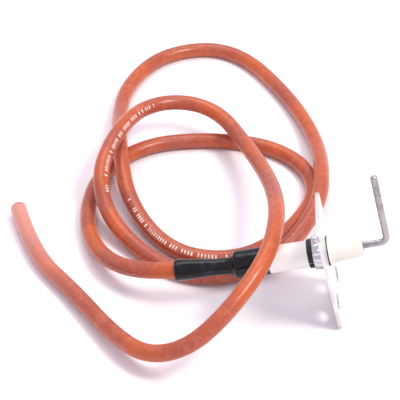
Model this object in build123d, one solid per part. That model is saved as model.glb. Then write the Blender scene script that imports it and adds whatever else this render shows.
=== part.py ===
from build123d import *
import math
import os

# Flame sensor probe: a ceramic-insulated electrode in a mounting plate, with a shrink-sleeved
# crimp joint to a silicone lead. The plate stands on its bottom edge with the probe tip raised,
# and the lead lies in loose loops on the same surface.
#
# Probe frame: +X runs along the probe towards the electrode, x = 0 on the plate's back face,
# +Z up the plate, z = 0 on the plate's bottom edge. stand() turns it into the part's own frame.

# ---------------------------------------------------------------- driving dimensions, mm
probe_tilt = 13.8             # degrees, electrode end up

plate_thickness = 1.5
plate_width = 31.0
plate_height = 49.0
plate_corner = 3.0
plate_edge = 0.25             # rolled edge of the stamping
axis_height = 29.5            # probe axis above the plate's bottom edge, along the plate

fixing_hole = 6.5
fixing_pitch = 17.0           # between the two hole centres
fixing_height = 9.5           # hole centres above the plate's bottom edge
insulator_hole_gap = 0.1      # radial, plate to insulator

barrel_diameter = 11.0        # insulator through the plate and behind it
barrel_length = 36.0          # behind the plate's back face
shoulder_lip = 0.4            # radial, shoulder over the barrel; it seats on the gasket
shoulder_length = 1.0
nose_root_step = 0.05         # radial, nose under the barrel where it leaves the shoulder
nose_tip_diameter = 8.7
nose_length = 13.55           # from the gasket to the nose's end face
ceramic_edge = 0.4
rod_bore_gap = 0.2            # radial, rod to insulator
cement_wall = 1.1             # radial, cement around the rod
cement_depth = 3.0
cement_dip = 0.35             # dish of the cement's open face

gasket_proud = 0.1            # radial, gasket beyond the shoulder
gasket_thickness = 0.45
gasket_tab = (1.5, 0.7)       # width and reach of the locating tab
gasket_tab_angle = 107.0      # degrees from up, towards -Y

collar_wall = 1.7
collar_length = 4.5
collar_gap = 0.1              # radial, collar to insulator
collar_edge = 1.0
collar_flutes = 14
flute_radius = 1.3
flute_depth = 0.35

ring_proud = 0.45             # radial, ring above the insulator's surface
ring_width = 2.0
ring_groove_depth = 0.4       # radial, below the insulator's surface
ring_split = 1.2
ring_split_angle = 98.0       # degrees from up, towards -Y

rod_diameter = 2.8
rod_clear = 9.85              # nose's end face to the upturned leg's axis
rod_leg = 33.0                # probe axis to the tip
rod_bend = 2.8                # centre-line radius of the upturned bend
rod_tip_round = 1.1
tail_gap = 1.5                # insulator's rear end to the pivot where the rod's tail turns
tail_angle = 5.3              # degrees, tail end up
tail_bend = 20.0
tail_length = 5.8             # from the pivot to the rod's end

# Along the tail, measured backwards from its pivot.
crimp_wall = 1.25
crimp_start = 1.5
crimp_web = 1.2               # solid part between the rod's end and the wire's bore
wire_diameter = 1.3
wire_bore_gap = 0.05          # radial
wire_grip = 3.6               # length of wire inside the crimp
crimp_dent_radius = 2.4
crimp_dent_depth = 0.45

cord_diameter = 7.0
cord_gap = 0.5                # bared wire between the crimp and the jacket
cord_straight = 20.3          # first run, in line with the tail

sleeve_wall = 0.3             # over the insulator, where it has shrunk least
sleeve_overlap = 13.5         # length on the insulator
sleeve_cone_end = 2.0
sleeve_neck_wall = 0.85
sleeve_flare = 1.8            # from the neck's end to the lead's start
sleeve_cord_wall = 0.7        # over the lead
sleeve_cord_grip = 7.4        # length that is tight on the lead
sleeve_mouth = 5.0            # length of the looser open end
sleeve_mouth_gap = 0.45       # radial, at the open end
sleeve_mouth_wall = 0.55

# The lead's hand-laid route on the table, after its first two points, which lie on the tail.
cord_route = [
    (-67.5, 9.5, 9.5), (-80, 29, 4.2), (-85.5, 55, 3.5), (-81, 83, 3.5), (-63, 104.5, 3.5),
    (-36, 110.5, 3.5), (-7, 107.5, 3.5), (11, 93, 3.5), (17, 71, 3.5), (6.5, 46, 3.5),
    (-10, 27.5, 3.5), (-26.5, 22.5, 3.5), (-43, 26.5, 3.5), (-57, 41.5, 3.5),
    # over the first strand and away to the far loop
    (-67.5, 61, 7.5), (-71.5, 79, 12.2), (-74.5, 101, 12.2), (-77, 126, 5), (-76, 152, 3.5),
    (-65, 177, 3.5), (-49, 188.5, 3.5), (-31, 190.5, 3.5), (-15, 179.5, 3.5), (-0.5, 156, 3.5),
    # over the first loop's right side and back in front of it
    (10, 133, 4), (17, 107, 6.5), (19, 80, 11.8), (17.5, 54, 12), (5.5, 30, 7), (-11.5, 16, 4),
    (-28, 10.5, 3.5), (-44.5, 14.5, 3.5), (-62, 29.5, 3.5), (-76, 47, 9),
    # over both loops' left sides and along their top
    (-80, 65, 18), (-76, 84.5, 21.5), (-70.8, 100, 21.3), (-64, 113, 19.5), (-52.6, 120.5, 18),
    (-39, 121, 16.5), (-27, 114, 14.7), (-17.5, 97, 13.7), (-8, 69, 19.5), (-2.5, 42, 28.5),
    # over the sleeve and the insulator, down to the front and out to the free end
    (-1.5, 13, 40), (-6, -15, 40), (-21, -33, 25.5), (-35.5, -41.5, 13.5), (-51.5, -38.5, 5.5),
    (-66, -24.5, 3.5), (-84, -1, 3.5), (-105, 23.5, 3.5), (-115.3, 54.2, 3.5),
]

# ---------------------------------------------------------------- sizes that follow
barrel_r = barrel_diameter / 2
rod_r = rod_diameter / 2
cord_r = cord_diameter / 2
wire_r = wire_diameter / 2
crimp_r = rod_r + crimp_wall
cement_r = rod_r + cement_wall
shoulder_r = barrel_r + shoulder_lip
gasket_r = shoulder_r + gasket_proud
collar_r = barrel_r + collar_gap + collar_wall
ring_r = barrel_r + ring_proud
shoulder_x = plate_thickness + gasket_thickness
nose_x = shoulder_x + nose_length
rod_x = nose_x + rod_clear
rear_x = -barrel_length
groove_r = barrel_r - ring_groove_depth
ring_front = -collar_length
ring_back = ring_front - ring_width
rod_bore_r = rod_r + rod_bore_gap
tail_pivot = barrel_length + tail_gap
wire_bore_start = tail_length + crimp_web
crimp_end = wire_bore_start + wire_grip
cord_start = crimp_end + cord_gap
sleeve_grip_end = cord_start + sleeve_cord_grip
sleeve_end = sleeve_grip_end + sleeve_mouth
sleeve_front = rear_x + sleeve_overlap
sleeve_outer_r = barrel_r + sleeve_wall
neck_outer_r = crimp_r + sleeve_neck_wall


# ---------------------------------------------------------------- frames and helpers
def on_probe(shape):
    """Lifts a shape made about the X axis onto the probe's axis."""
    return Pos(0, 0, axis_height) * shape


def on_tail(shape):
    """Puts a shape made about the X axis, x = 0 at the pivot and -X rearwards, on the tail."""
    return on_probe(Pos(-tail_pivot, 0, 0) * Rot(0, tail_angle, 0) * shape)


def stand(shape, shift=0.0):
    """Tips the probe frame so that the plate's back bottom edge rests on z = 0."""
    return Pos(shift, 0, 0) * Rot(0, -probe_tilt, 0) * shape


def turned(*outline):
    """Solid of revolution about X through a closed outline of (x, radius) points."""
    return revolve(make_face(Polyline(*outline, close=True)), Axis.X)


def rod_along_x(start, end, radius):
    """Plain round bar on the X axis."""
    return turned((start, 0), (end, 0), (end, radius), (start, radius))


def rim(shape, x, radius):
    """Circular edges about the X axis at a station and radius."""
    circles = shape.edges().filter_by(GeomType.CIRCLE)
    return circles.filter_by(
        lambda edge: abs(edge.arc_center.X - x) < 1e-3 and abs(edge.radius - radius) < 1e-3
    )


def clock(angle, shape):
    """Turns a shape about X from the top position towards -Y."""
    return Rot(angle, 0, 0) * shape


# ---------------------------------------------------------------- pieces of the probe
def mounting_plate():
    outline = Pos(0, plate_height / 2) * RectangleRounded(plate_width, plate_height, plate_corner)
    plate = extrude(Plane.YZ * outline, plate_thickness)
    broken = plate.edges().group_by(Axis.X)
    plate = fillet(broken[0] + broken[-1], min(plate_edge, 0.4 * plate_thickness))
    for side in (-1, 1):
        hole = Pos(0, side * fixing_pitch / 2, fixing_height)
        plate -= hole * rod_along_x(-1, plate_thickness + 1, fixing_hole / 2)
    return plate - on_probe(rod_along_x(-1, plate_thickness + 1, barrel_r + insulator_hole_gap))


def ceramic_insulator():
    body = turned(
        (rear_x, rod_bore_r), (rear_x, barrel_r),
        (ring_back, barrel_r), (ring_back, groove_r), (ring_front, groove_r), (ring_front, barrel_r),
        (shoulder_x, barrel_r), (shoulder_x, shoulder_r),
        (shoulder_x + shoulder_length, barrel_r - nose_root_step),
        (nose_x, nose_tip_diameter / 2), (nose_x, rod_bore_r),
    )
    body = fillet(rim(body, rear_x, barrel_r), ceramic_edge)
    body = fillet(rim(body, nose_x, nose_tip_diameter / 2), ceramic_edge)
    for end, step in ((rear_x, cement_depth), (nose_x, -cement_depth)):
        body -= rod_along_x(min(end, end + step), max(end, end + step), cement_r)
    return on_probe(body)


def cement_plug(end, inwards):
    """Cement around the rod in a counterbore, its open face dished; inwards is +1 or -1."""
    floor = end + inwards * cement_depth
    plug = turned((end, rod_r), (floor, rod_r), (floor, cement_r), (end, cement_r))
    mid_r = (rod_r + cement_r) / 2
    half = (cement_r - rod_r) / 2 - 0.1
    dish_r = (half**2 + cement_dip**2) / (2 * cement_dip)
    centre = end - inwards * (dish_r - cement_dip)
    dish = revolve(Pos(centre, mid_r) * Circle(dish_r), Axis.X)
    return on_probe(plug - dish)


def front_gasket():
    gasket = rod_along_x(plate_thickness, shoulder_x, gasket_r)
    width, reach = gasket_tab
    tab = Pos(plate_thickness, 0, barrel_r) * Box(
        gasket_thickness, width, gasket_r - barrel_r + reach, align=(Align.MIN, Align.CENTER, Align.MIN)
    )
    gasket += clock(gasket_tab_angle, tab)
    return on_probe(gasket - rod_along_x(plate_thickness - 1, shoulder_x + 1, barrel_r))


def crimp_collar():
    back = -collar_length
    collar = rod_along_x(back, 0, collar_r)
    collar = fillet(rim(collar, back, collar_r), min(collar_edge, 0.4 * collar_length))
    flute = rod_along_x(back - 1, 1, flute_radius)
    reach = collar_r + flute_radius - flute_depth
    for i in range(collar_flutes):
        collar -= clock(360 * i / collar_flutes, Pos(0, 0, reach) * flute)
    return on_probe(collar - rod_along_x(back - 1, 1, barrel_r + collar_gap))


def retaining_ring():
    ring = rod_along_x(ring_back, ring_front, ring_r)
    ring = chamfer(rim(ring, ring_back, ring_r), 0.2)
    ring -= rod_along_x(ring_back - 1, ring_front + 1, groove_r)
    slot = Pos((ring_back + ring_front) / 2, 0, barrel_r) * Box(
        ring_width + 2, ring_split, barrel_r
    )
    return on_probe(ring - clock(ring_split_angle, slot))


def electrode_rod():
    """Bar with an upturned leg at the front and a slight upward set at the tail."""
    tail = math.radians(tail_angle)
    tail_end = (-tail_pivot - tail_length * math.cos(tail), 0, tail_length * math.sin(tail))
    corners = [(rod_x, 0, rod_leg), (rod_x, 0, 0), (-tail_pivot, 0, 0), tail_end]
    path = FilletPolyline(*corners, radius=[rod_bend, tail_bend])
    rod = sweep(Plane((rod_x, 0, rod_leg), z_dir=(0, 0, -1)) * Circle(rod_r), path)
    tip = rod.edges().sort_by(Axis.Z)[-1]
    return on_probe(fillet(tip, min(rod_tip_round, 0.8 * rod_r)))


# ---------------------------------------------------------------- pieces of the tail
def crimp_barrel():
    crimp = rod_along_x(-crimp_end, -crimp_start, crimp_r)
    crimp -= rod_along_x(-tail_length, -crimp_start, rod_r)
    crimp -= rod_along_x(-crimp_end, -wire_bore_start, wire_r + wire_bore_gap)
    dents = ((crimp_start + tail_length) / 2, crimp_end - wire_grip / 2)
    for place in dents:
        dent = Rot(90, 0, 0) * Cylinder(crimp_dent_radius, 2 * crimp_r)
        crimp -= Pos(-place, 0, crimp_r + crimp_dent_radius - crimp_dent_depth) * dent
    return on_tail(crimp)


def sleeve_form(front, barrel_radius, neck, cone_end):
    """Closed solid through the sleeve: a bar on the probe axis, a cone, and the turned neck."""
    bar = on_probe(rod_along_x(rear_x, front, barrel_radius))
    big = on_probe(Plane((rear_x, 0, 0), z_dir=(-1, 0, 0)) * Circle(barrel_radius))
    small = on_tail(Plane((-cone_end, 0, 0), z_dir=(-1, 0, 0)) * Circle(neck[0][1]))
    cone = loft([big, small], ruled=True)
    outline = [(-cone_end, 0)] + [(-place, radius) for place, radius in neck] + [(-neck[-1][0], 0)]
    return bar + cone + on_tail(turned(*outline))


def heat_shrink_sleeve():
    full_r = cord_r + sleeve_cord_wall
    mouth_r = cord_r + sleeve_mouth_gap
    outside = [
        (sleeve_cone_end, neck_outer_r), (cord_start - sleeve_flare, neck_outer_r),
        (cord_start, full_r), (sleeve_grip_end, full_r),
        (sleeve_end, mouth_r + sleeve_mouth_wall),
    ]
    inside = [
        (sleeve_cone_end, crimp_r), (crimp_end, crimp_r), (cord_start, cord_r),
        (sleeve_grip_end, cord_r), (sleeve_end + 1, mouth_r + 0.05),
    ]
    skin = sleeve_form(sleeve_front, sleeve_outer_r, outside, sleeve_cone_end)
    return skin - sleeve_form(sleeve_front + 1, barrel_r, inside, sleeve_cone_end)


# ---------------------------------------------------------------- the lead
def tail_point(place, shift):
    """Point on the tail's axis, in the part's frame."""
    return stand(on_tail(Pos(-place, 0, 0)), shift).position


def corner_radii(points):
    """Arc for each corner: 0.45 of the shorter run over the tangent of half the turn."""
    radii = []
    for before, here, after in zip(points, points[1:], points[2:]):
        turn = math.radians((here - before).get_angle(after - here))
        run = min((here - before).length, (after - here).length)
        radii.append(0.45 * run / math.tan(turn / 2))
    return radii


def cord_path(start, shift):
    """The lead's line from a place on the tail; its arcs are the jacket's own."""
    points = [tail_point(cord_start, shift), tail_point(cord_start + cord_straight, shift)]
    points += [Vector(*point) for point in cord_route]
    radii = corner_radii(points)
    points[0] = tail_point(start, shift)
    return FilletPolyline(*points, radius=radii), points, radii


def along(path, points, section):
    """Sweeps a section down the lead's path from its first point."""
    return sweep(Plane(points[0], z_dir=points[1] - points[0]) * section, path)


def cable_jacket(shift):
    path, points, radii = cord_path(cord_start, shift)
    bore_r = wire_r + wire_bore_gap
    jacket = along(path, points, Circle(cord_r)) - along(path, points, Circle(bore_r))
    print("cord length", round(path.length, 1), "radii", [round(r, 1) for r in radii])
    section = math.pi * (cord_r**2 - bore_r**2)
    print("cord volume over section times length", round(jacket.volume / section / path.length, 4))
    return jacket


def cable_conductor(shift):
    path, points, _ = cord_path(wire_bore_start, shift)
    return along(path, points, Circle(wire_r))


# ---------------------------------------------------------------- assembly
probe_pieces = {
    "mounting_plate": mounting_plate(),
    "ceramic_insulator": ceramic_insulator(),
    "front_cement_plug": cement_plug(nose_x, -1),
    "rear_cement_plug": cement_plug(rear_x, 1),
    "front_gasket": front_gasket(),
    "crimp_collar": crimp_collar(),
    "retaining_ring": retaining_ring(),
    "electrode_rod": electrode_rod(),
    "crimp_barrel": crimp_barrel(),
    "heat_shrink_sleeve": heat_shrink_sleeve(),
}
standing = {name: stand(shape) for name, shape in probe_pieces.items()}
box = Compound(children=[Compound([*shape.solids()]) for shape in standing.values()]).bounding_box()
x_shift = -(box.min.X + box.max.X) / 2
pieces = {name: Pos(x_shift, 0, 0) * shape for name, shape in standing.items()}
pieces["cable_jacket"] = cable_jacket(x_shift)
pieces["cable_conductor"] = cable_conductor(x_shift)

os.makedirs("parts", exist_ok=True)
for name, shape in pieces.items():
    export_step(shape, f"parts/{name}.step")
print("plate back bottom edge at x", round(x_shift, 3))
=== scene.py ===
import math

import bpy
from mathutils import Matrix, Vector, noise


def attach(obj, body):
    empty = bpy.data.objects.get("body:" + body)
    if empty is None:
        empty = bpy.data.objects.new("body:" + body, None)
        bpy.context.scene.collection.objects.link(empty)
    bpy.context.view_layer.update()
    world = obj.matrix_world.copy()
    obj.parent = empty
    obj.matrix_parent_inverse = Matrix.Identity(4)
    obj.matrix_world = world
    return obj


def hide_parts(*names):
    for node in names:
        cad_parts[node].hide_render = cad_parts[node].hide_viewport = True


# Flame sensor probe: the rigid pieces come from the frame and get their finishes here. The lead,
# its core, the shrink sleeve and the crimped collar are modelled here in place of plain solids.

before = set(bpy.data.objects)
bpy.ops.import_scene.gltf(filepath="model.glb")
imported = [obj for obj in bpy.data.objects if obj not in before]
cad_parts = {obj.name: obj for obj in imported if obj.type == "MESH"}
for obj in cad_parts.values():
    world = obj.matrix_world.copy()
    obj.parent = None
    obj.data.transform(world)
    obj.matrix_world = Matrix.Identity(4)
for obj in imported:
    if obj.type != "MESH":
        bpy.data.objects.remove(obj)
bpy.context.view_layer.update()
scene = bpy.context.scene
MM = 0.001

# ---------------------------------------------------------------- the probe's own sizes, mm
probe_tilt = math.radians(13.8)
tail_angle = math.radians(5.3)
tail_pivot = 37.5             # behind the plate's back face
axis_height = 29.5            # above the plate's bottom edge
plate_x = 24.483              # the plate's back bottom edge
barrel_r = 5.5
cord_r = 3.5
cord_bore_r = 0.7

probe_axis = Vector((math.cos(probe_tilt), 0, math.sin(probe_tilt)))
probe_up = Vector((-math.sin(probe_tilt), 0, math.cos(probe_tilt)))
lean = probe_tilt - tail_angle
tail_axis = Vector((math.cos(lean), 0, math.sin(lean)))
tail_up = Vector((-math.sin(lean), 0, math.cos(lean)))
across = Vector((0, 1, 0))
plate_centre = (Vector((plate_x, 0, 0)) + probe_up * axis_height) * MM
pivot = plate_centre - probe_axis * tail_pivot * MM


def on_probe(x):
    """Point on the probe's axis, x mm ahead of the plate's back face."""
    return plate_centre + probe_axis * x * MM


def on_tail(s):
    """Point on the tail's axis, s mm behind its pivot."""
    return pivot - tail_axis * s * MM


# ---------------------------------------------------------------- node trees
MIX = {"data_type": "RGBA"}
SMOOTH = {"interpolation_type": "SMOOTHSTEP"}


def linear(code):
    """sRGB hex to a linear colour."""
    parts = [int(code[i:i + 2], 16) / 255 for i in (0, 2, 4)]
    return tuple(c / 12.92 if c <= 0.04045 else ((c + 0.055) / 1.055) ** 2.4 for c in parts) + (1,)


def add(tree, kind, settings=None, **ins):
    """Adds a node. An input is named, or i and its number; it takes a value, hex or a socket."""
    made = tree.nodes.new(kind)
    for name, value in (settings or {}).items():
        setattr(made, name, value)
    for name, value in ins.items():
        numbered = name[0] == "i" and name[1:].isdigit()
        slot = made.inputs[int(name[1:]) if numbered else name.replace("_", " ")]
        if isinstance(value, bpy.types.NodeSocket):
            tree.links.new(value, slot)
        else:
            slot.default_value = linear(value) if isinstance(value, str) else value
    return made.outputs


def material(name, colour, roughness, metallic=0.0, **sockets):
    """New material with its Principled shader set; returns it, its tree and the shader's inputs."""
    made = bpy.data.materials.new(name)
    made.use_nodes = True
    inputs = made.node_tree.nodes["Principled BSDF"].inputs
    sockets.update(Base_Color=colour, Roughness=roughness, Metallic=metallic)
    for key, value in sockets.items():
        slot = inputs[key.replace("_", " ")]
        slot.default_value = linear(value) if isinstance(value, str) else value
    return made, made.node_tree, inputs


def place(tree):
    """Object coordinates in millimetres."""
    where = add(tree, "ShaderNodeTexCoord")
    return add(tree, "ShaderNodeVectorMath", {"operation": "SCALE"}, i0=where["Object"],
               Scale=1 / MM)[0]


def along_probe(tree):
    """Coordinates in mm turned so that X runs along the probe from the plate's back face."""
    turned = add(tree, "ShaderNodeMapping", {"vector_type": "TEXTURE"}, Vector=place(tree),
                 Location=plate_centre / MM, Rotation=(0, -probe_tilt, 0))
    return turned[0]


def patches(tree, where, size, low, high, least=0.0, most=1.0, detail=3.0, roughness=0.55):
    """Soft-edged patches size mm across: cloudy values from least to most."""
    cloudy = add(tree, "ShaderNodeTexNoise", Vector=where, Scale=1 / size, Detail=detail,
                 Roughness=roughness)
    return add(tree, "ShaderNodeMapRange", SMOOTH, Value=cloudy["Fac"], i1=low, i2=high,
               i3=least, i4=most)[0]


def uneven(tree, inputs, where, size, depth, strength=0.5, detail=3.0):
    """Uneven skin: bumps size mm across and depth mm high."""
    cloudy = add(tree, "ShaderNodeTexNoise", Vector=where, Scale=1 / size, Detail=detail,
                 Roughness=0.55)
    bumped = add(tree, "ShaderNodeBump", Height=cloudy["Fac"], Distance=depth * MM,
                 Strength=strength)
    tree.links.new(bumped[0], inputs["Normal"])


tick_pitch = 1.4              # mm along the lead
row_length = 67.0
row_every = 515.0
row_middle = 333.0            # middle of the first row, from the lead's start


def printed_row(tree, where):
    """Plain worn ticks, some left out, in rows along the lead."""
    uv = add(tree, "ShaderNodeSeparateXYZ", Vector=add(tree, "ShaderNodeUVMap")[0])
    cell = add(tree, "ShaderNodeMath", {"operation": "DIVIDE"}, i0=uv[0], i1=tick_pitch)[0]
    whole = add(tree, "ShaderNodeMath", {"operation": "FLOOR"}, i0=cell)[0]
    chance = add(tree, "ShaderNodeTexWhiteNoise", {"noise_dimensions": "1D"}, W=whole)["Value"]
    kept = add(tree, "ShaderNodeMath", {"operation": "GREATER_THAN"}, i0=chance, i1=0.28)[0]
    tick = add(tree, "ShaderNodeMath", {"operation": "PINGPONG"}, i0=cell, i1=0.5)[0]
    tick = add(tree, "ShaderNodeMapRange", SMOOTH, Value=tick, i1=0.2, i2=0.32)[0]
    since = add(tree, "ShaderNodeMath", {"operation": "SUBTRACT"}, i0=uv[0], i1=row_middle)[0]
    row = add(tree, "ShaderNodeMath", {"operation": "PINGPONG"}, i0=since, i1=row_every / 2)[0]
    row = add(tree, "ShaderNodeMath", {"operation": "LESS_THAN"}, i0=row, i1=row_length / 2)[0]
    # the row creeps round the lead, a fifth of a turn from one row to the next
    creep = add(tree, "ShaderNodeMath", {"operation": "MULTIPLY_ADD"}, i0=uv[0],
                i1=0.2 / row_every, i2=0.81)[0]
    turn = add(tree, "ShaderNodeMath", {"operation": "SUBTRACT"}, i0=uv[1], i1=creep)[0]
    band = add(tree, "ShaderNodeMath", {"operation": "PINGPONG"}, i0=turn, i1=0.5)[0]
    band = add(tree, "ShaderNodeMapRange", SMOOTH, Value=band, i1=0.034, i2=0.044, i3=1.0,
               i4=0.0)[0]
    ink = patches(tree, where, 3.0, 0.35, 0.6, 0.55, 0.9, 1.0)
    for part in (kept, tick, row, band):
        ink = add(tree, "ShaderNodeMath", {"operation": "MULTIPLY"}, i0=ink, i1=part)[0]
    return ink


def silicone_lead():
    # Extruded silicone rubber: satin, slightly cloudy, with pale dust. UV runs in mm along the
    # lead and 0 to 1 around it.
    made, tree, inputs = material("silicone_lead", "C8603F", 0.4, IOR=1.41, Specular_IOR_Level=0.7,
                                  Sheen_Weight=0.45, Sheen_Roughness=0.3, Sheen_Tint="FFC9BC",
                                  Subsurface_Weight=0.06, Subsurface_Scale=0.001)
    where = place(tree)
    body = add(tree, "ShaderNodeMix", MIX, i0=patches(tree, where, 30.0, 0.38, 0.64, detail=2.0),
               i6="BA521E", i7="A34A34")[2]
    body = add(tree, "ShaderNodeMix", MIX, i0=patches(tree, where, 3.5, 0.46, 0.72, most=0.25),
               i6=body, i7="CC8068")[2]
    # paler and pinker over the last run towards the free end
    run = add(tree, "ShaderNodeSeparateXYZ", Vector=add(tree, "ShaderNodeUVMap")[0])[0]
    paling = add(tree, "ShaderNodeMapRange", SMOOTH, Value=run, i1=1150.0, i2=1240.0, i4=0.7)[0]
    body = add(tree, "ShaderNodeMix", MIX, i0=paling, i6=body, i7="E0A094")[2]
    dust = patches(tree, where, 0.6, 0.62, 0.72, most=0.5, detail=2.0, roughness=0.7)
    body = add(tree, "ShaderNodeMix", MIX, i0=dust, i6=body, i7="EDB7A2")[2]
    body = add(tree, "ShaderNodeMix", MIX, i0=printed_row(tree, where), i6=body, i7="FBEAE2")[2]
    tree.links.new(body, inputs["Base Color"])
    tree.links.new(patches(tree, where, 1.6, 0.3, 0.7, 0.26, 0.38), inputs["Roughness"])
    uneven(tree, inputs, where, 0.9, 0.03, 0.4, 4.0)
    return made


def shrunk_polyolefin():
    # Heat-shrunk polyolefin: near-black with a blue cast, glossy, with soft lavender patches
    # painted on as reflections of the bright surroundings.
    made, tree, inputs = material("shrunk_polyolefin", "0C0C14", 0.25, IOR=1.48,
                                  Specular_IOR_Level=0.35)
    where = place(tree)
    # painted reflection: cloudy lavender patches in the base colour stand in for the surroundings'
    # reflection on the glossy sleeve
    paling = patches(tree, where, 6.0, 0.5, 0.7, most=0.5, detail=1.0)
    body = add(tree, "ShaderNodeMix", MIX, i0=paling, i6="05050A", i7="2C2A40")[2]
    tree.links.new(body, inputs["Base Color"])
    tree.links.new(patches(tree, where, 2.4, 0.35, 0.7, 0.12, 0.24), inputs["Roughness"])
    uneven(tree, inputs, where, 3.0, 0.25, 0.6, 1.0)
    return made


def fired_alumina():
    # Fired alumina: chalk white and matt behind, a little creamier towards the nose.
    made, tree, inputs = material("fired_alumina", "F8F7F4", 0.5, IOR=1.6,
                                  Subsurface_Weight=0.08, Subsurface_Scale=0.0008)
    where = along_probe(tree)
    x = add(tree, "ShaderNodeSeparateXYZ", Vector=where)[0]
    ahead = add(tree, "ShaderNodeMapRange", SMOOTH, Value=x, i1=0.0, i2=6.0)[0]
    tone = add(tree, "ShaderNodeMix", MIX, i0=ahead, i6="F3F3F0", i7="E6E3D8")[2]
    soil = patches(tree, where, 4.0, 0.55, 0.8, most=0.2, detail=5.0)
    tone = add(tree, "ShaderNodeMix", MIX, i0=soil, i6=tone, i7="D6D0C6")[2]
    speck = patches(tree, where, 0.35, 0.72, 0.78, most=0.3, detail=1.0)
    tone = add(tree, "ShaderNodeMix", MIX, i0=speck, i6=tone, i7="B8AFA0")[2]
    tree.links.new(tone, inputs["Base Color"])
    uneven(tree, inputs, where, 0.3, 0.02)
    return made


def fire_cement():
    # Trowelled refractory cement: pinkish, rough and sandy.
    made, tree, inputs = material("fire_cement", "DDBFA8", 0.9)
    where = place(tree)
    tone = add(tree, "ShaderNodeMix", MIX, i0=patches(tree, where, 0.5, 0.35, 0.65, detail=4.0),
               i6="C9A58C", i7="EAD3C0")[2]
    tree.links.new(tone, inputs["Base Color"])
    uneven(tree, inputs, where, 0.35, 0.18, 1.0, 5.0)
    return made


def bright_zinc():
    # Bright zinc plate on cold-rolled sheet: pale blue-white, fine rolling lines, soft clouds.
    made, tree, inputs = material("bright_zinc", "F0F0F3", 0.3, 1.0)
    where = along_probe(tree)
    lines = add(tree, "ShaderNodeMapping", Vector=where, Scale=(1.0, 9.0, 0.35))[0]
    tone = add(tree, "ShaderNodeMix", MIX, i0=patches(tree, where, 7.0, 0.35, 0.7),
               i6="DEDEDC", i7="CFCFD2")[2]
    tree.links.new(tone, inputs["Base Color"])
    tree.links.new(patches(tree, lines, 1.2, 0.3, 0.7, 0.26, 0.42, 4.0), inputs["Roughness"])
    uneven(tree, inputs, lines, 1.2, 0.012, 0.6, 4.0)
    return made


def bright_crimp():
    # Thin bright-plated steel squeezed round the insulator: near-mirror with small ripples.
    made, tree, inputs = material("bright_crimp", "CACACE", 0.14, 1.0)
    where = along_probe(tree)
    tree.links.new(patches(tree, where, 1.2, 0.3, 0.7, 0.06, 0.2), inputs["Roughness"])
    uneven(tree, inputs, where, 1.6, 0.15, 0.5, 2.0)
    return made


def black_oxide():
    # Oiled black-oxide spring steel.
    made, tree, inputs = material("black_oxide", "1B1A1A", 0.42, 0.35)
    where = along_probe(tree)
    worn = patches(tree, where, 0.8, 0.5, 0.7, most=0.6, detail=4.0)
    tone = add(tree, "ShaderNodeMix", MIX, i0=worn, i6="181717", i7="6A625E")[2]
    tree.links.new(tone, inputs["Base Color"])
    uneven(tree, inputs, where, 0.4, 0.03)
    return made


def graphite_sheet():
    # Pressed graphite gasket: dark grey-green, matt, flaky.
    made, tree, inputs = material("graphite_sheet", "34342C", 0.75, 0.2)
    where = along_probe(tree)
    tone = add(tree, "ShaderNodeMix", MIX, i0=patches(tree, where, 0.4, 0.45, 0.7),
               i6="2A2A24", i7="55544A")[2]
    tree.links.new(tone, inputs["Base Color"])
    uneven(tree, inputs, where, 0.3, 0.03)
    return made


def drawn_wire():
    # Drawn iron-chromium-aluminium wire: light grey, fine lines along it, a dull oxide film.
    made, tree, inputs = material("drawn_wire", "A4A2A3", 0.36, 1.0)
    where = along_probe(tree)
    lines = add(tree, "ShaderNodeMapping", Vector=where, Scale=(0.25, 3.0, 0.25))[0]
    tone = add(tree, "ShaderNodeMix", MIX, i0=patches(tree, where, 5.0, 0.4, 0.7),
               i6="ADABAC", i7="8E8C8E")[2]
    tree.links.new(tone, inputs["Base Color"])
    tree.links.new(patches(tree, lines, 0.25, 0.3, 0.7, 0.3, 0.5), inputs["Roughness"])
    uneven(tree, inputs, lines, 0.25, 0.006, 0.4)
    return made


def tinned_copper(name="tinned_copper"):
    # Tin-dipped copper: soft silver-grey with a warm undertone.
    made, tree, inputs = material(name, "CFCBC2", 0.3, 1.0)
    where = place(tree)
    tone = add(tree, "ShaderNodeMix", MIX, i0=patches(tree, where, 0.6, 0.55, 0.75, most=0.4),
               i6="D2CEC6", i7="C79A74")[2]
    tree.links.new(tone, inputs["Base Color"])
    uneven(tree, inputs, where, 0.3, 0.02)
    return made


# ---------------------------------------------------------------- mesh helpers
def skin_rings(name, rings, uv=None):
    """Closed skin over rings of points: each ring is joined to the next, the last to the first."""
    count = len(rings[0])
    points = [p for ring in rings for p in ring]
    faces = []
    for i in range(len(rings)):
        here, there = i * count, (i + 1) % len(rings) * count
        for j in range(count):
            k = (j + 1) % count
            faces.append((here + j, here + k, there + k, there + j))
    mesh = bpy.data.meshes.new(name)
    mesh.from_pydata(points, [], faces)
    mesh.polygons.foreach_set("use_smooth", [True] * len(mesh.polygons))
    if uv:
        layer = mesh.uv_layers.new(name="UVMap")
        for face in mesh.polygons:
            j = face.index % count
            for corner, vertex in zip(face.loop_indices, face.vertices):
                ring, side = divmod(vertex, count)
                turn = 1.0 if side == 0 and j == count - 1 else side / count
                layer.data[corner].uv = (uv[ring], turn)
    mesh.validate()
    made = bpy.data.objects.new(name, mesh)
    scene.collection.objects.link(made)
    return made


def ride_root(piece, finish, node):
    """Gives a piece its finish, its body and its slot, in place of a node."""
    piece.data.materials.clear()
    piece.data.materials.append(finish)
    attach(piece, "root")
    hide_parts(node)
    return piece


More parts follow.
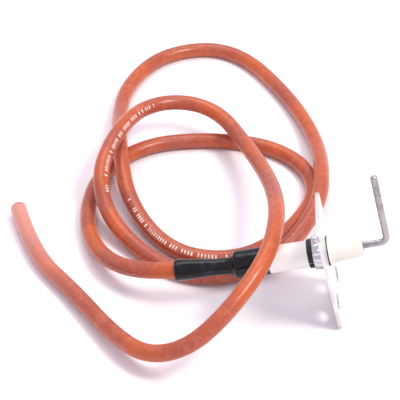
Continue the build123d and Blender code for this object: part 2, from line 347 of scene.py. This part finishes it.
# ---------------------------------------------------------------- the lead
# The route lies on the surface; z is the middle of the lead, in metres.
route_points = [
    (-0.02995, 0, 0.01806), (-0.05003, 0, 0.01506),
    (-.0675, .0095, .0095), (-.080, .029, .0042), (-.0855, .055, .0035), (-.081, .083, .0035),
    (-.063, .1045, .0035), (-.036, .1105, .0035), (-.007, .1075, .0035), (.011, .093, .0035),
    (.017, .071, .0035), (.0065, .046, .0035), (-.010, .0275, .0035), (-.0265, .0225, .0035),
    (-.043, .0265, .0035), (-.057, .0415, .0035),
    # over the first strand and away to the far loop
    (-.0675, .061, .0075), (-.0715, .079, .012), (-.0745, .101, .012), (-.077, .126, .005),
    (-.076, .152, .0035), (-.065, .177, .0035), (-.049, .1885, .0035), (-.031, .1905, .0035),
    (-.015, .1795, .0035), (-.0005, .156, .0035),
    # over the first loop's right side and back in front of it
    (.010, .133, .004), (.017, .107, .006), (.019, .080, .011), (.0175, .054, .0115),
    (.0055, .030, .007), (-.0115, .016, .004), (-.028, .0105, .0035), (-.0445, .0145, .0035),
    (-.062, .0295, .0035), (-.076, .047, .009),
    # over both loops' left sides and along their top
    (-.080, .065, .017), (-.076, .0845, .020), (-.0708, .100, .0198), (-.064, .113, .0185),
    (-.0526, .1205, .0175), (-.039, .121, .0163), (-.027, .114, .0145), (-.0175, .097, .0133),
    (-.008, .069, .0185), (-.0025, .042, .0255),
    # over the sleeve and the insulator, down to the front and out to the free end
    (-.0015, .013, .0332), (-.006, -.013, .0332), (-.021, -.035, .0240), (-.0355, -.0450, .0152),
    (-.0515, -.0430, .0090), (-.066, -.0275, .0058), (-.084, -.0015, .0038),
    (-.105, .0235, .0035), (-.1153, .0542, .0035),
]


def route_line():
    """Points of the smooth line that the route's spline makes."""
    curve = bpy.data.curves.new("lead_route", "CURVE")
    curve.dimensions = "3D"
    spline = curve.splines.new("NURBS")
    spline.points.add(len(route_points) - 1)
    for point, spot in zip(spline.points, route_points):
        point.co = (*spot, 1)
    spline.order_u = 3
    spline.use_endpoint_u = True
    spline.resolution_u = 20
    carrier = bpy.data.objects.new("lead_route", curve)
    scene.collection.objects.link(carrier)
    bpy.context.view_layer.update()
    line = bpy.data.meshes.new_from_object(
        carrier.evaluated_get(bpy.context.evaluated_depsgraph_get()))
    points = [v.co.copy() for v in line.vertices]
    bpy.data.objects.remove(carrier)
    return points


def frames_along(points):
    """Tangent, side and up at each point, turning as little as possible on the way."""
    last = len(points) - 1
    heads = [(points[min(i + 1, last)] - points[max(i - 1, 0)]).normalized()
             for i in range(last + 1)]
    up = Vector((0, 0, 1))
    frames = []
    for head in heads:
        up = (up - head * up.dot(head)).normalized()
        frames.append((head, head.cross(up), up))
    return frames


def distances(points):
    run = [0.0]
    for a, b in zip(points, points[1:]):
        run.append(run[-1] + (b - a).length)
    return run


def circle_of(centre, side, up, radius, count):
    return [centre + (side * math.sin(t) + up * math.cos(t)) * radius
            for t in (2 * math.pi * j / count for j in range(count))]


def lead_jacket(points, sides=28):
    """Tube with its bore, cut square at the free end, its wall a little uneven."""
    frames = frames_along(points)
    run = distances(points)
    outer, inner = [], []
    for point, (head, side, up), d in zip(points, frames, run):
        swell = 1 + 0.012 * noise.noise(Vector((d * 45, 0, 0)))
        outer.append(circle_of(point, side, up, cord_r * MM * swell, sides))
        inner.append(circle_of(point, side, up, cord_bore_r * MM, sides))
    head, side, up = frames[-1]
    end = points[-1]
    edge = 0.25
    outer[-1] = circle_of(end - head * edge * MM * 0.3, side, up, cord_r * MM, sides)
    lip = circle_of(end, side, up, (cord_r - edge) * MM, sides)
    # the bore is seen at its mouth only, so farther in every sixth ring is enough
    bore = inner[::-1]
    rings = outer + [lip] + bore[:3] + bore[3:-1:6] + bore[-1:]
    lengths = [d / MM for d in run] + [run[-1] / MM] * (len(rings) - len(run))
    made = skin_rings("silicone_jacket", rings, uv=lengths)
    cut_face = (len(outer) - 1, len(outer))
    made.data.polygons.foreach_set(
        "use_smooth", [face.index // sides not in cut_face for face in made.data.polygons])
    return made


def strand_tree(finish):
    """Nodes that lay strands round a middle one, twisted along a line."""
    tree = bpy.data.node_groups.new("twisted_strands", "GeometryNodeTree")
    sockets = {}
    tree.interface.new_socket("Line", in_out="INPUT", socket_type="NodeSocketGeometry")
    for name, kind in (("Strand Radius", "Float"), ("Ring Radius", "Float"), ("Lay", "Float"),
                       ("Strands", "Int")):
        made = tree.interface.new_socket(name, in_out="INPUT", socket_type="NodeSocket" + kind)
        sockets[name] = made.identifier
    tree.interface.new_socket("Mesh", in_out="OUTPUT", socket_type="NodeSocketGeometry")
    given = add(tree, "NodeGroupInput")
    curve = add(tree, "GeometryNodeMeshToCurve", Mesh=given["Line"])["Curve"]
    length = add(tree, "GeometryNodeSplineParameter")["Length"]
    turns = add(tree, "ShaderNodeMath", {"operation": "DIVIDE"}, i0=length, i1=given["Lay"])[0]
    tilt = add(tree, "ShaderNodeMath", {"operation": "MULTIPLY"}, i0=turns, i1=2 * math.pi)[0]
    curve = add(tree, "GeometryNodeSetCurveTilt", Curve=curve, Tilt=tilt)[0]
    strand = add(tree, "GeometryNodeCurvePrimitiveCircle", Resolution=6,
                 Radius=given["Strand Radius"])["Curve"]
    around = add(tree, "ShaderNodeMath", {"operation": "SUBTRACT"}, i0=given["Strands"], i1=1.0)[0]
    ring = add(tree, "GeometryNodeCurvePrimitiveCircle", Resolution=around,
               Radius=given["Ring Radius"])["Curve"]
    laid = add(tree, "GeometryNodeInstanceOnPoints", Points=ring, Instance=strand)[0]
    both = add(tree, "GeometryNodeJoinGeometry", Geometry=laid)[0]
    tree.links.new(strand, both.node.inputs[0])
    profile = add(tree, "GeometryNodeRealizeInstances", Geometry=both)[0]
    swept = add(tree, "GeometryNodeCurveToMesh", Curve=curve, Profile_Curve=profile,
                Fill_Caps=True)[0]
    swept = add(tree, "GeometryNodeRealizeInstances", Geometry=swept)[0]
    done = add(tree, "GeometryNodeSetMaterial", Geometry=swept, Material=finish)[0]
    add(tree, "NodeGroupOutput", Mesh=done)
    return tree, sockets


def lead_core(points, finish):
    """Seven tinned strands twisted together along the lead, flush with its cut end."""
    line = points[::2] + ([points[-1]] if len(points) % 2 == 0 else [])
    mesh = bpy.data.meshes.new("strand_line")
    mesh.from_pydata(line, [(i, i + 1) for i in range(len(line) - 1)], [])
    carrier = bpy.data.objects.new("strand_line", mesh)
    scene.collection.objects.link(carrier)
    tree, sockets = strand_tree(finish)
    laid = carrier.modifiers.new("strands", "NODES")
    laid.node_group = tree
    sizes = {"Strand Radius": 0.2 * MM, "Ring Radius": 0.42 * MM, "Lay": 14.0 * MM, "Strands": 7}
    for name, size in sizes.items():
        laid[sockets[name]] = size
    bpy.context.view_layer.update()
    plain = bpy.data.meshes.new_from_object(
        carrier.evaluated_get(bpy.context.evaluated_depsgraph_get()))
    carrier.modifiers.remove(laid)
    bpy.data.objects.remove(carrier)
    made = bpy.data.objects.new("twisted_strands", plain)
    scene.collection.objects.link(made)
    return made


# ---------------------------------------------------------------- the shrink sleeve
# Outer radius in mm at stations along the sleeve: the tail's s, or the probe's x as a pair.
sleeve_tail_profile = [
    (23.5, 4.42), (22.6, 4.5), (20.0, 4.52), (17.0, 4.36), (13.8, 4.06), (10.8, 3.72),
    (8.5, 3.52), (6.0, 3.47), (4.0, 3.5), (2.4, 3.56), (1.0, 3.62), (0.3, 3.85),
]
sleeve_probe_profile = [
    (-36.9, 4.9), (-36.3, 5.62), (-35.6, 5.86), (-34.0, 5.82), (-30.0, 5.8), (-26.0, 5.8),
    (-23.2, 5.82), (-22.6, 5.78),
]
# Where the sleeve has collapsed a little: (station, clock angle, length, spread, depth).
sleeve_dents = [
    (18.0, 300, 3.4, 42, 0.34), (12.5, 318, 3.0, 38, 0.22), (21.5, 245, 2.0, 40, 0.30),
    (15.0, 200, 4.5, 55, 0.28), (6.5, 285, 3.0, 45, 0.16), (2.6, 300, 1.2, 60, 0.18),
    (9.0, 110, 4.0, 60, 0.25), (17.5, 60, 4.0, 50, 0.30), (20.5, 130, 3.0, 50, 0.25),
    (-2.5, 250, 2.6, 60, 0.10),
]


def smooth_profile(profile, step):
    """Catmull-Rom through (station, radius) pairs, sampled about every step mm."""
    out = []
    last = len(profile) - 1
    for i in range(last):
        p0, p1, p2, p3 = (profile[max(0, min(last, i + k))] for k in (-1, 0, 1, 2))
        parts = max(1, round(abs(p2[0] - p1[0]) / step))
        for n in range(parts):
            t = n / parts
            out.append(tuple(
                0.5 * (2 * b + (c - a) * t + (2 * a - 5 * b + 4 * c - d) * t**2
                       + (3 * b - a - 3 * c + d) * t**3)
                for a, b, c, d in zip(p0, p1, p2, p3)))
    return out + [profile[-1]]


def sleeve_stations():
    """(centre, head, up, radius, s) from the open end to the front edge."""
    stations = []
    for s, radius in smooth_profile(sleeve_tail_profile, 0.4):
        stations.append((on_tail(s), tail_axis, tail_up, radius, s))
    for x, radius in smooth_profile(sleeve_probe_profile, 0.4):
        stations.append((on_probe(x), probe_axis, probe_up, radius, -(x + tail_pivot)))
    return stations


def sleeve_inner_radius(s):
    """Bore in mm: over the lead, over the crimp, then over the insulator; none on the step."""
    mouth_start, lead_start, crimp_start, insulator_end = 18.5, 11.1, 2.0, -1.5
    if s > mouth_start:
        return cord_r + 0.05 + 0.45 * (s - mouth_start) / 5
    if s > lead_start:
        return cord_r + 0.05
    if s > crimp_start:
        return 2.65
    return barrel_r + 0.02 if s < insulator_end else None


def shrink_sleeve(sides=56):
    """Sleeve shrunk over the joint, with dents where nothing fills it."""
    outer, inner = [], []
    for centre, head, up, radius, s in sleeve_stations():
        ring, bore = [], []
        inner_r = sleeve_inner_radius(s)
        for j in range(sides):
            turn = 2 * math.pi * j / sides
            way = up * math.cos(turn) + across * math.sin(turn)
            r = radius
            for place_s, clock, length, spread, depth in sleeve_dents:
                gap = (math.degrees(turn) - clock + 180) % 360 - 180
                r -= depth * math.exp(-((s - place_s) / length) ** 2 - (gap / spread) ** 2)
            r += 0.05 * noise.noise(way * 2.2 + Vector((s * 0.35, 0, 0)))
            if inner_r is not None:
                r = max(r, inner_r + 0.22)
                bore.append(centre + way * inner_r * MM)
            ring.append(centre + way * r * MM)
        outer.append(ring)
        if bore:
            inner.append(bore)
    mouth = [(a * 0.45 + b * 0.55) + tail_axis * -0.16 * MM for a, b in zip(outer[0], inner[0])]
    front = [(a * 0.5 + b * 0.5) + probe_axis * 0.1 * MM for a, b in zip(outer[-1], inner[-1])]
    return skin_rings("shrunk_sleeve", outer + [front] + inner[::-1] + [mouth])


# ---------------------------------------------------------------- the crimped collar
# Outer radius in mm at stations of the probe's x, from its rear edge to the plate.
collar_profile = [
    (-4.5, 6.15), (-4.4, 6.55), (-4.0, 6.9), (-3.2, 7.1), (-2.2, 7.16), (-1.3, 7.05), (-0.7, 7.1),
    (0.0, 7.28),
]
# Creases that the closing tool left: (clock angle from the top towards the front, width, depth).
collar_creases = [
    (-150, 10, 0.4), (-118, 9, 0.5), (-92, 8, 0.4), (-61, 9, 0.5), (-34, 7, 0.45), (-12, 6, 0.5),
    (6, 5, 0.55), (21, 5, 0.5), (40, 6, 0.5), (63, 8, 0.5), (84, 6, 0.35), (137, 9, 0.4),
    (166, 10, 0.45),
]


def crimped_collar(sides=168):
    """Turned-over collar with uneven creases that fade towards the plate."""
    outer, inner = [], []
    for x, radius in smooth_profile(collar_profile, 0.25):
        fade = min(1.0, max(0.0, -x / 1.6)) * (0.4 + 0.6 * min(1.0, (x + 4.5) / 0.8 + 0.2))
        ring, bore = [], []
        for j in range(sides):
            clock = 360 * j / sides
            turn = math.radians(clock)
            way = probe_up * math.cos(turn) - across * math.sin(turn)
            r = radius + 0.06 * noise.noise(way * 3.1 + Vector((x * 0.6, 0, 4.0)))
            for n, (at, width, depth) in enumerate(collar_creases):
                lean_over = 2.2 * math.sin(n * 2.1) * (x + 2.2)
                gap = (clock - at - lean_over + 180) % 360 - 180
                r -= depth * fade * math.exp(-(gap / width) ** 2)
            ring.append(on_probe(x) + way * max(r, barrel_r + 0.3) * MM)
            bore.append(on_probe(x) + way * (barrel_r + 0.1) * MM)
        outer.append(ring)
        inner.append(bore)
    return skin_rings("crimped_collar", outer + [inner[-1], inner[0]])


# ---------------------------------------------------------------- making it all
silicone = silicone_lead()
line = route_line()
jacket = ride_root(lead_jacket(line), silicone, "cable_jacket")
tinned = tinned_copper()
core = ride_root(lead_core(line, tinned), tinned, "cable_conductor")
ride_root(shrink_sleeve(), shrunk_polyolefin(), "heat_shrink_sleeve")
ride_root(crimped_collar(), bright_crimp(), "crimp_collar")

finishes = {
    "mounting_plate": bright_zinc(),
    "ceramic_insulator": fired_alumina(),
    "front_cement_plug": fire_cement(),
    "front_gasket": graphite_sheet(),
    "retaining_ring": black_oxide(),
    "electrode_rod": drawn_wire(),
    "crimp_barrel": tinned_copper("tinned_crimp"),
}
finishes["rear_cement_plug"] = finishes["front_cement_plug"]
for name, finish in finishes.items():
    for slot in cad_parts[name].material_slots:
        slot.material = finish

# ---------------------------------------------------------------- floor, light and camera
floor_mesh = bpy.data.meshes.new("floor")
reach = 3.0
corners = [(-reach, -reach, 0), (reach, -reach, 0), (reach, reach, 0), (-reach, reach, 0)]
floor_mesh.from_pydata(corners, [], [(0, 1, 2, 3)])
floor = bpy.data.objects.new("floor", floor_mesh)
scene.collection.objects.link(floor)
paper, _, _ = material("white_paper", "F6F3F8", 0.8, Specular_IOR_Level=0.2)
floor_mesh.materials.append(paper)


def softbox(name, spot, aim, size, power, colour):
    lamp = bpy.data.lights.new(name, "AREA")
    lamp.shape = "DISK"
    lamp.size = size
    lamp.energy = power
    lamp.color = linear(colour)[:3]
    made = bpy.data.objects.new(name, lamp)
    made.location = spot
    made.rotation_euler = (Vector(aim) - Vector(spot)).to_track_quat("-Z", "Y").to_euler()
    scene.collection.objects.link(made)


centre = (-0.035, 0.06, 0.0)
softbox("key", (0.36, -0.10, 0.68), centre, 0.24, 3.5, "FFFBEE")
softbox("top", (-0.10, 0.40, 0.80), centre, 0.60, 2.4, "FFFDF8")

world = bpy.data.worlds.new("studio")
scene.world = world
world.use_nodes = True
world.node_tree.nodes["Background"].inputs["Color"].default_value = linear("F8F3FF")
world.node_tree.nodes["Background"].inputs["Strength"].default_value = 0.90
scene.view_settings.view_transform = "Standard"

camera = bpy.data.cameras.new("camera")
camera.sensor_width = 36.0
camera.lens = 134.2
camera.clip_start = 0.01
viewer = bpy.data.objects.new("camera", camera)
viewer.location = (-0.01117, -0.46122, 0.40977)
viewer.rotation_euler = (math.radians(52.29), 0, math.radians(2.637))
scene.collection.objects.link(viewer)
scene.camera = viewer
